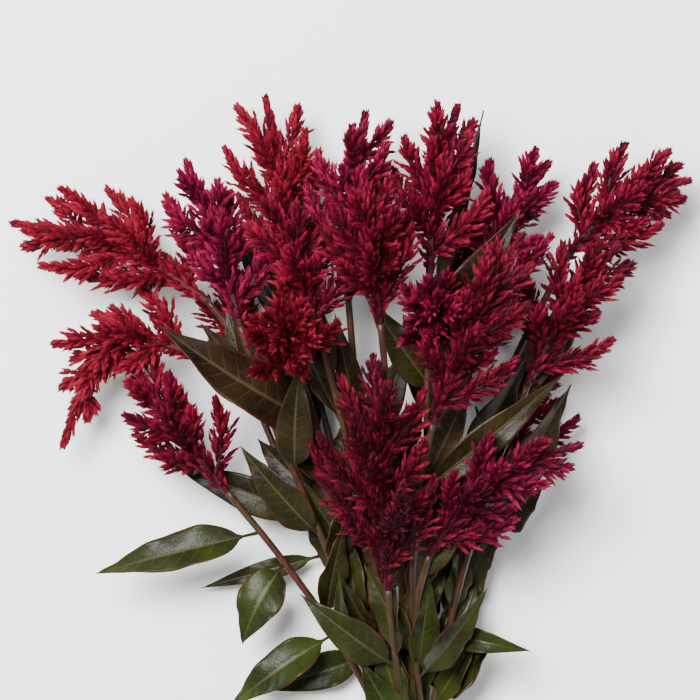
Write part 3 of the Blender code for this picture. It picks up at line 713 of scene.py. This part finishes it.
def floret_spike(line, radii, draw, tone):
    """The tepals of one spray or core: small side spikes in a spiral, each set with tepals."""
    curve = smooth_line(line, 4 * len(line))
    lengths = distances(curve)
    reach = lengths[-1]
    places = np.arange(0.5, reach, FLORET_STEP)
    given = (curve, *frames(curve, across(unit(curve[1] - curve[0]))))
    centre, along, side, up = (read_off(values, lengths, places) for values in given)
    share = places / reach
    radius = np.interp(share, np.linspace(0, 1, len(radii)), radii)
    radius = radius * (1.12 - 0.6 * np.clip((share - 0.5) / 0.5, 0, 1))
    count = len(places)
    angle = np.arange(count) * GOLDEN_ANGLE + draw.uniform(-0.4, 0.4, count)
    out = side * np.cos(angle)[:, None] + up * np.sin(angle)[:, None]
    pitch = FLORET_PITCH * (1.1 - 0.7 * share**2) * draw.uniform(0.75, 1.25, count)
    way = along * np.cos(pitch)[:, None] + out * np.sin(pitch)[:, None]
    size = np.maximum(radius * draw.uniform(*SPIKE_LENGTHS, count) - 1.0, 2.5)
    size = np.minimum(size, (reach - places) * 0.6 + 1.5)
    right = units(np.cross(way, along + 0.3 * out))
    above = np.cross(right, way)
    step = (np.arange(TEPALS) + 0.5) / TEPALS
    turn = np.arange(TEPALS) * GOLDEN_ANGLE + draw.uniform(0, 6.28, (count, 1))
    spread = np.radians(TEPAL_SPREAD - TEPAL_CLOSING * step)
    spread = spread * draw.uniform(0.7, 1.3, (count, TEPALS))
    around = right[:, None] * np.cos(turn)[..., None] + above[:, None] * np.sin(turn)[..., None]
    ways = way[:, None] * np.cos(spread)[..., None] + around * np.sin(spread)[..., None]
    roots = centre[:, None] + way[:, None] * (size[:, None] * (0.12 + 0.88 * step))[..., None]
    tepal = TEPAL_LENGTH * draw.uniform(0.75, 1.25, (count, TEPALS))
    tepal = tepal * (0.75 + 0.25 * radius / 7)[:, None]
    width = TEPAL_WIDTH * draw.uniform(0.8, 1.2, (count, TEPALS))
    shade = tone + draw.normal(0, 0.16, (count, 1)) + draw.normal(0, 0.08, (count, TEPALS))
    shade = np.clip(shade, 0, 1)
    # Painted shade low on each small spike, near the spray's axis, and a painted highlight at its
    # top, partly the florets' own paler points.
    height = np.broadcast_to((1 - OWN_TONE_AND_PAINTED_LIGHT) * step**1.3, shade.shape)
    flat = [values.ravel() for values in (tepal, width, shade, height)]
    return tepal_cloud(roots.reshape(-1, 3), ways.reshape(-1, 3), *flat)


def tube_arrays(line, radii, sides, ribs=0.0, lowest=FLOOR_CLEARANCE):
    """A round closed tube's points and triangles, with shallow ribs along it."""
    _, side, up = frames(line, across(unit(line[1] - line[0])))
    angles = (np.arange(sides) * 2 * math.pi / sides)[None, :, None]
    ring = np.cos(angles) * side[:, None] + np.sin(angles) * up[:, None]
    swell = 1 + ribs * np.cos(angles * STEM_RIBS)
    points = (line[:, None] + ring * (np.array(radii)[:, None, None] * swell)).reshape(-1, 3)
    points[:, 2] = np.maximum(points[:, 2], lowest)
    return points, np.array(wrapped(len(line), sides, True))


def fine_plume(name, core, radii, sprays, colour):
    """A plume's florets and the thin stalks that they grow on."""
    draw = np.random.default_rng(zlib.crc32(name.encode()))
    # Painted shade: the plume's tone is darker the nearer its middle lies to the middle of the
    # bunch.
    middle = core[len(core) // 2]
    outer = min(1.0, math.hypot(middle[0] - PAINTED_SHADE_CENTRE[0], middle[1] - PAINTED_SHADE_CENTRE[1]) / PAINTED_SHADE_REACH)
    tone = PAINTED_SHADE_TONE + (UNSHADED_TONE - PAINTED_SHADE_TONE) * outer
    clouds = [floret_spike(core, radii, draw, tone - CORE_PAINTED_SHADE)]
    stalks = [tube_arrays(smooth_line(core, CORE_STALK[2]), np.linspace(*CORE_STALK), 6)]
    for line, widths in sprays:
        clouds.append(floret_spike(line, widths, draw, tone + draw.uniform(*SPRAY_TONES)))
        stalk = smooth_line(line, SPRAY_STALK[2])
        stalks.append(tube_arrays(stalk, np.linspace(*SPRAY_STALK), 5))
    points, tints = (np.concatenate(arrays) for arrays in zip(*clouds))
    kept = points[:, :, 2].min(axis=1) > FLOOR_CLEARANCE
    points, tints = points[kept], tints[kept]
    triangles = TEPAL_FACES + 5 * np.arange(len(points))[:, None, None]
    parts = [(points.reshape(-1, 3), triangles.reshape(-1, 3), tints.reshape(-1, 4), 0)]
    for points, triangles in stalks:
        parts.append((points, triangles, np.tile(STALK_PAINTED_SHADE_TINT, (len(points), 1)), 0))
    return piece("florets_" + name, parts, [colour], smooth=False)


def fine_leaf(root, leaf, hue):
    """A leaf with its veins in relief, on the midrib and outline of the CAD leaf."""
    corners, face = leaf_frame(root, leaf)
    shares = np.linspace(0, 1, LEAF_ROWS + 1)
    line = bezier(corners, shares)
    along, _, _ = frames(line, face)
    up = units(face - along * (along @ face)[:, None])
    side = np.cross(along, up)
    half = np.array([leaf_half_width(share, leaf.width) for share in shares])
    half[-1] = 0.15
    over = np.linspace(-1, 1, LEAF_COLUMNS + 1)
    share, over = np.meshgrid(shares, over, indexing="ij")
    out, half, phase = np.abs(over), half[:, None], leaf.tip[0]
    turn = EDGE_WAVES * math.pi * share + phase + np.where(over > 0, EDGE_SHIFT, 0.0)
    wave = EDGE_WAVE * half * np.sin(turn)
    ripple = 0.35 * np.sin(41 * share + 3 * phase + 2 * over) * over**4
    rise = out * half * math.sin(LEAF_FOLD) + over**2 * wave * 3.0 + ripple
    place = (share - 0.1 * out) / VEIN_STEP
    between = np.abs(np.sin(math.pi * place)) ** 0.6
    blade = np.clip((half - 2.0) / 4.0, 0, 1)
    quilt = 0.42 * between * blade
    quilt = quilt * np.clip(1.15 - out, 0, 1) * np.clip(out * 6, 0, 1)
    spine = line[:, None] + side[:, None] * (over * half * math.cos(LEAF_FOLD))[..., None]
    midrib = 0.9 * np.exp(-((over * half) ** 2) / 0.6) * (1 - 0.8 * share)
    skin = LEAF_SKIN * (1 - 0.45 * out) + midrib
    top = spine + up[:, None] * (rise + quilt + 0.1)[..., None]
    under = spine + up[:, None] * (rise + quilt * 0.8 - skin)[..., None]
    rows, columns = share.shape
    points = np.concatenate([top.reshape(-1, 3), under.reshape(-1, 3)])
    points[:, 2] = np.maximum(points[:, 2], FLOOR_CLEARANCE)
    below = rows * columns
    triangles = []
    for first in range(0, below - columns, columns):
        for a in range(first, first + columns - 1):
            b, d, e = a + 1, a + columns, a + columns + 1
            triangles += [(a, b, d), (b, e, d)]
            triangles += [(below + a, below + d, below + b), (below + b, below + d, below + e)]
        a, d = first, first + columns
        triangles += [(a, d, below + a), (d, below + d, below + a)]
        a, d = a + columns - 1, d + columns - 1
        triangles += [(a, below + a, d), (d, below + a, below + d)]
    for c in range(columns - 1):
        triangles += [(c, below + c, c + 1), (c + 1, below + c, below + c + 1)]
        a = below - columns + c
        triangles += [(a, a + 1, below + a), (a + 1, below + a + 1, below + a)]
    tint = np.zeros((2, rows, columns, 4))
    tint[..., 0] = over * 0.5 + 0.5
    tint[..., 1] = share
    tint[..., 2] = hue
    tint[0, ..., 3] = 1.0
    return points, np.array(triangles), tint.reshape(-1, 4), 1


def fine_stem(name, stem, leaves, colours, greenness):
    """A ribbed stem with its leaves."""
    draw = np.random.default_rng(zlib.crc32(name.encode()) + 1)
    line = smooth_stem(stem)
    line = np.vstack([line[:1], line[:1] + CUT_BEVEL * unit(line[1] - line[0]), line[1:]])
    shares = np.linspace(0, 1, len(line))
    radii = np.interp(shares, (0, 0.3, 1), (STEM_FLAT, STEM_FLAT, STEM_TOP)) * 1.02
    radii[0] -= CUT_BEVEL
    points, triangles = tube_arrays(line, radii, STEM_CORNERS, 0.06)
    tint = np.tile((0.0, 0.5, greenness, 0.5), (len(points), 1))
    tint[:STEM_CORNERS, 0] = 1.0
    parts = [(points, triangles, tint, 0)]
    for leaf in leaves:
        hue = np.interp(leaf.tip[1], (80, 230), (0.85, 0.05)) * 0.8 + greenness * 0.2
        hue = float(np.clip(hue + draw.uniform(-0.14, 0.14), 0, 1))
        parts.append(fine_leaf(on_stem(stem, leaf.at), leaf, hue))
    return piece("leafy_" + name, parts, colours, smooth=True)


def smooth_stem(stem):
    """The stem's line, its corners eased."""
    fine = []
    for a, b in zip(stem[:-1], stem[1:]):
        count = max(2, int(np.linalg.norm(b - a) / 5))
        fine += [a + (b - a) * k / count for k in range(count)]
    fine = np.array(fine + [stem[-1]])
    for _ in range(6):
        fine[1:-1] += 0.25 * (fine[:-2] + fine[2:] - 2 * fine[1:-1])
    return fine


def fine_twine(slots, colour):
    """Turns of two-ply twine round the stems, inside the CAD band's outline."""
    middle = grown_outline(stems_outline(slots), TWINE_GAP + TWINE_THICK / 2)
    loop = []
    for a, b in zip(middle, np.roll(middle, -1, axis=0)):
        loop += [a + (b - a) * k / 12 for k in range(12)]
    loop = np.array(loop)
    for _ in range(4):
        loop += 0.25 * (np.roll(loop, 1, axis=0) + np.roll(loop, -1, axis=0) - 2 * loop)
    index = np.arange(len(loop) * TWINE_TURNS + 1)
    place = loop[index % len(loop)]
    width = TWINE_WIDTH - TURNS_INSET
    y = -width / 2 + width / TWINE_TURNS * index / len(loop)
    line = np.stack([place[:, 0], y, place[:, 1]], axis=1)
    _, side, up = frames(line, across(unit(line[1] - line[0])))
    parts = []
    for strand in range(2):
        turn = (distances(line) * PLY_TWIST + strand * math.pi)[:, None]
        way = side * np.cos(turn) + up * np.sin(turn)
        radii = np.full(len(line), PLY_RADIUS)
        ply = tube_arrays(line + PLY_OFFSET * way, radii, 6, lowest=0.02)
        parts.append((*ply, None, 0))
    return piece("twine_turns", parts, [colour], smooth=True)


def piece(name, parts, materials, smooth):
    """One object from parts: points in mm, triangles, the points' tints, material number."""
    points = np.concatenate([part[0] for part in parts])
    offsets = np.cumsum([0] + [len(part[0]) for part in parts])
    triangles = np.concatenate([part[1] + offset for part, offset in zip(parts, offsets)])
    slots = np.concatenate([np.full(len(part[1]), part[3]) for part in parts])
    data = bpy.data.meshes.new(name)
    data.vertices.add(len(points))
    data.vertices.foreach_set("co", (points * MM).astype(np.float32).ravel())
    data.loops.add(triangles.size)
    data.loops.foreach_set("vertex_index", triangles.astype(np.int32).ravel())
    data.polygons.add(len(triangles))
    data.polygons.foreach_set("loop_start", np.arange(0, triangles.size, 3, dtype=np.int32))
    for finish in materials:
        data.materials.append(finish)
    data.polygons.foreach_set("material_index", slots.astype(np.int32))
    data.polygons.foreach_set("use_smooth", np.full(len(triangles), smooth))
    data.update(calc_edges=True)
    if parts[0][2] is not None:
        tint = np.concatenate([part[2] for part in parts])
        layer = data.color_attributes.new("tint", "FLOAT_COLOR", "POINT")
        layer.data.foreach_set("color", tint.astype(np.float32).ravel())
    made = bpy.data.objects.new(name, data)
    bpy.context.scene.collection.objects.link(made)
    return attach(made, "root")


# Materials: two colours are the dark and the light patches

BRONZE_LEAF = ((0.007, 0.003, 0.002), (0.02, 0.010, 0.004))
GREEN_LEAF = ((0.005, 0.009, 0.001), (0.022, 0.036, 0.004))
LEAF_UNDERSIDE = ((0.022, 0.012, 0.006), (0.06, 0.028, 0.016))  # the blade and its veins
LEAF_SPECKLE = (0.028, 0.024, 0.01)
LEAF_EDGE = (0.07, 0.012, 0.01)
LEAF_VEIN = (0.06, 0.05, 0.022)
WINE_STEM = ((0.022, 0.005, 0.004), (0.062, 0.014, 0.009))
OLIVE_PATCH = (0.03, 0.026, 0.009)
CUT_END = ((0.2, 0.23, 0.1), (0.42, 0.44, 0.24))
JUTE = ((0.2, 0.125, 0.055), (0.46, 0.34, 0.19))
FLOOR_WHITES = ((0.9, 0.9, 0.895), (0.92, 0.92, 0.915))


class Finish:
    """A Principled material and short ways to add nodes to it."""

    def __init__(self, name, roughness, specular=0.5):
        self.material = bpy.data.materials.new(name)
        self.material.use_nodes = True
        self.tree = self.material.node_tree
        self.shader = self.tree.nodes["Principled BSDF"]
        self.feed(self.shader.inputs["Roughness"], roughness)
        self.feed(self.shader.inputs["Specular IOR Level"], specular)

    def feed(self, socket, value):
        """Links another node's output to the socket, or sets a number or colour on it."""
        if isinstance(value, bpy.types.NodeSocket):
            self.tree.links.new(value, socket)
        elif isinstance(value, tuple):
            socket.default_value = (*value, 1.0)
        elif value is not None:
            socket.default_value = value

    def node(self, kind, **values):
        made = self.tree.nodes.new(kind)
        for key, value in values.items():
            setattr(made, key, value)
        return made

    def tint(self):
        attribute = self.node("ShaderNodeAttribute", attribute_name="tint")
        parts = self.node("ShaderNodeSeparateColor")
        self.feed(parts.inputs[0], attribute.outputs["Color"])
        return *parts.outputs, attribute.outputs["Alpha"]

    def math(self, operation, *values):
        made = self.node("ShaderNodeMath", operation=operation)
        for socket, value in zip(made.inputs, values):
            self.feed(socket, value)
        return made.outputs[0]

    def mix(self, factor, first, second):
        made = self.node("ShaderNodeMix", data_type="RGBA")
        for number, value in ((0, factor), (6, first), (7, second)):
            self.feed(made.inputs[number], value)
        return made.outputs[2]

    def noise(self, scale, detail=3.0, stretch=(1.0, 1.0, 1.0)):
        place = self.node("ShaderNodeTexCoord").outputs["Object"]
        mapping = self.node("ShaderNodeMapping")
        mapping.inputs["Scale"].default_value = stretch
        self.feed(mapping.inputs["Vector"], place)
        made = self.node("ShaderNodeTexNoise")
        self.feed(made.inputs["Scale"], scale)
        self.feed(made.inputs["Detail"], detail)
        self.feed(made.inputs["Vector"], mapping.outputs[0])
        return made.outputs["Fac"]

    def spread(self, value, low, high):
        made = self.node("ShaderNodeMapRange")
        self.feed(made.inputs["Value"], value)
        self.feed(made.inputs["From Min"], low)
        self.feed(made.inputs["From Max"], high)
        return made.outputs["Result"]

    def bump(self, height, distance):
        made = self.node("ShaderNodeBump")
        self.feed(made.inputs["Distance"], distance)
        self.feed(made.inputs["Height"], height)
        self.feed(self.shader.inputs["Normal"], made.outputs[0])

    def colour(self, value):
        self.feed(self.shader.inputs["Base Color"], value)


def floret_finish(tone, deep, full, bright):
    """Papery florets: deep at their foot, full in the middle and bright at their points; the deep
    foot is partly painted shade and the bright point partly a painted highlight.
    """
    made = Finish("florets_" + tone, 0.55, 0.12)
    shade, height, _, _ = made.tint()
    patch = made.spread(made.noise(38.0, 2.0), 0.35, 0.68)
    body = made.mix(made.spread(shade, 0.2, 0.8), deep, full)
    body = made.mix(made.math("MULTIPLY", patch, 0.45), body, deep)
    # Painted highlight, partly the florets' own paler points: the bright colour towards the tops
    # of the small spikes.
    point = made.math("MULTIPLY", made.spread(height, 0.25, 1.0), made.spread(shade, 0.1, 0.75))
    # Painted shade, partly own colour: low on each small spike the colour goes deep.
    body = made.mix(made.spread(height, 0.0, 0.3), deep, body)
    made.colour(made.mix(point, body, bright))
    for socket, value in (("Weight", 0.08), ("Roughness", 0.4), ("Tint", bright)):
        made.feed(made.shader.inputs["Sheen " + socket], value)
    return made.material


def leaf_finish():
    """Leaf from bronze to green by its tint, with pale veins and a red edge."""
    made = Finish("leaf", 0.37, 0.11)
    over, share, hue, top = made.tint()
    out = made.math("ABSOLUTE", made.math("MULTIPLY_ADD", over, 2.0, -1.0))
    place = made.math("DIVIDE", made.math("MULTIPLY_ADD", out, -0.1, share), VEIN_STEP)
    vein = made.math("ABSOLUTE", made.math("SINE", made.math("MULTIPLY", place, math.pi)))
    vein = made.math("SUBTRACT", 1.0, made.spread(vein, 0.0, 0.22))
    vein = made.math("MULTIPLY", vein, made.math("SUBTRACT", 0.95, out))
    rib = made.math("SUBTRACT", 1.0, made.spread(out, 0.02, 0.1))
    lines = made.math("MAXIMUM", made.math("MULTIPLY", vein, 0.85), rib)
    patches = made.spread(made.noise(30.0, 4.0), 0.35, 0.7)
    bronze = made.mix(patches, *BRONZE_LEAF)
    green = made.mix(patches, *GREEN_LEAF)
    body = made.mix(hue, bronze, green)
    speckle = made.spread(made.noise(420.0, 2.0), 0.4, 0.75)
    body = made.mix(made.math("MULTIPLY", speckle, 0.2), body, LEAF_SPECKLE)
    edge = made.math("MULTIPLY", made.spread(out, 0.86, 1.0), 0.5)
    body = made.mix(edge, body, LEAF_EDGE)
    body = made.mix(made.math("MULTIPLY", lines, 0.55), body, LEAF_VEIN)
    under = made.mix(made.math("MULTIPLY", lines, 0.5), *LEAF_UNDERSIDE)
    made.colour(made.mix(top, under, body))
    made.bump(made.noise(700.0, 3.0), 0.0002)
    return made.material


def stem_finish():
    """Ribbed stem, wine red to brown with green streaks along it."""
    made = Finish("stem", 0.45, 0.25)
    streaks = made.spread(made.noise(260.0, 3.0, (1.0, 0.06, 1.0)), 0.35, 0.7)
    patches = made.spread(made.noise(16.0, 3.0), 0.4, 0.65)
    body = made.mix(streaks, *WINE_STEM)
    body = made.mix(made.math("MULTIPLY", patches, 0.6), body, OLIVE_PATCH)
    pith = made.mix(made.noise(900.0, 2.0), *CUT_END)
    made.colour(made.mix(made.tint()[0], body, pith))
    made.bump(made.noise(500.0, 3.0, (1.0, 0.1, 1.0)), 0.0002)
    return made.material


def twine_finish():
    """Rough jute twine."""
    made = Finish("twine", 0.85)
    fibre = made.spread(made.noise(900.0, 4.0, (1.0, 0.4, 1.0)), 0.3, 0.75)
    made.colour(made.mix(fibre, *JUTE))
    made.bump(fibre, 0.0004)
    return made.material


def floor_finish():
    """A matt surface, nearly white."""
    made = Finish("floor", 0.8)
    grain = made.spread(made.noise(9.0, 3.0), 0.3, 0.7)
    made.colour(made.mix(grain, *FLOOR_WHITES))
    return made.material


# The scene, in metres

SKY_STRENGTH = 0.72
KEY_PLACE = (-0.5, 0.7, 1.8)
KEY_AIM = (-0.04, 0.25, 0.05)
KEY_SIZE = 0.8
KEY_POWER = 120.0
SENSOR_WIDTH = 36.0  # in millimetres
CAMERA_DISTANCE = 2.2  # from the middle height of the bunch
FRAME_WIDTH = 0.42  # what the picture shows at that height
CAMERA_PLACE = (-0.037, 0.264, 0.09 + CAMERA_DISTANCE)


def small_sprays(bunch):
    """Adds slim side sprays between the larger ones, where they are clear of the rest."""
    draw = random.Random(SEED + 1)
    for flower in FLOWERS:
        for k in range(SMALL_SPRAYS):
            share = 0.04 + 0.6 * (k + 0.5) / SMALL_SPRAYS
            length = SMALL_SPRAY_REACH * flower.reach * (1.1 - 0.5 * share)
            length *= draw.uniform(0.8, 1.15)
            pitch = SMALL_SPRAY_PITCH * draw.uniform(0.8, 1.15)
            azimuth = (k + 0.5) * GOLDEN_ANGLE + draw.uniform(-0.3, 0.3)
            place_spray(bunch, flower.name, share, azimuth, pitch, length, k, SMALL_SPRAY_SLIM)


def inner_leaves(bunch):
    """Adds small leaves on the stems inside the bunch, where they are clear of the rest."""
    draw = random.Random(SEED + 2)
    for name, stem in bunch.stems.items():
        for k in range(INNER_LEAVES):
            at = 0.1 + 0.55 * (k + draw.uniform(0.1, 0.9)) / INNER_LEAVES
            heading = draw.uniform(-0.6, 0.6)
            way = np.array((math.sin(heading), math.cos(heading), draw.uniform(-0.25, 0.25)))
            tip = on_stem(stem, at) + way * draw.uniform(*INNER_LEAF_LENGTHS)
            tip[2] = max(tip[2], 5.0)
            roll = draw.uniform(-40, 40)
            place_leaf(bunch, Leaf(name, at, tuple(tip), INNER_LEAF_WIDTH, 5, roll))


def dress():
    """Builds every fine piece and hides the CAD node that it stands for."""
    bunch = plan()
    small_sprays(bunch)
    inner_leaves(bunch)
    florets = {tone: floret_finish(tone, *shades) for tone, shades in FLORET_SHADES.items()}
    leafy = [stem_finish(), leaf_finish()]
    for name, core in bunch.cores.items():
        tone = "crimson"
        if name in SCARLET_PLUMES:
            tone = "scarlet"
        elif name in MAGENTA_PLUMES:
            tone = "magenta"
        radii = np.interp(np.linspace(0, 1, len(core)), CORE_SHARES, CORE_RADII)
        plume = fine_plume(name, core, radii, bunch.sprays[name], florets[tone])
        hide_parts("plume_" + name)
        green = name in GREEN_STEMS
        hue = GREEN_HUE if green else BRONZE_HUE
        stem = fine_stem(name, bunch.stems[name], bunch.leaves[name], leafy, hue)
        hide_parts("stem_" + name)
    turns = fine_twine(bunch.slots, twine_finish())
    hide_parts("twine")


def studio():
    """A pale floor, soft light and a camera that looks straight down on the laid bunch."""
    scene = bpy.context.scene
    data = bpy.data.meshes.new("floor")
    corners = [(-4, -4, 0), (4, -4, 0), (4, 4, 0), (-4, 4, 0)]
    data.from_pydata(corners, [], [(0, 1, 2, 3)])
    data.materials.append(floor_finish())
    floor = bpy.data.objects.new("floor", data)
    scene.collection.objects.link(floor)
    world = bpy.data.worlds.new("studio")
    world.use_nodes = True
    sky = world.node_tree.nodes["Background"]
    sky.inputs["Color"].default_value = (1.0, 1.0, 1.0, 1.0)
    sky.inputs["Strength"].default_value = SKY_STRENGTH
    scene.world = world
    data = bpy.data.lights.new("key", "AREA")
    data.shape = "DISK"
    data.size = KEY_SIZE
    data.energy = KEY_POWER
    key = bpy.data.objects.new("key", data)
    key.location = KEY_PLACE
    key.rotation_euler = (Vector(KEY_AIM) - key.location).to_track_quat("-Z", "Y").to_euler()
    data = bpy.data.cameras.new("camera")
    data.sensor_width = SENSOR_WIDTH
    data.lens = SENSOR_WIDTH * CAMERA_DISTANCE / FRAME_WIDTH
    camera = bpy.data.objects.new("camera", data)
    camera.location = CAMERA_PLACE
    for made in (key, camera):
        scene.collection.objects.link(made)
    scene.camera = camera


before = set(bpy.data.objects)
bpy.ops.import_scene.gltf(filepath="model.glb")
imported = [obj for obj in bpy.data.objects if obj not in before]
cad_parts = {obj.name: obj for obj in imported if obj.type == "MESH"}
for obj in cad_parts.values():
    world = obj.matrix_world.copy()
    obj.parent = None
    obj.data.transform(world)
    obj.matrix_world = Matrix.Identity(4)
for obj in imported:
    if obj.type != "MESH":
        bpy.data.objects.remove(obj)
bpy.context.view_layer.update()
dress()
studio()
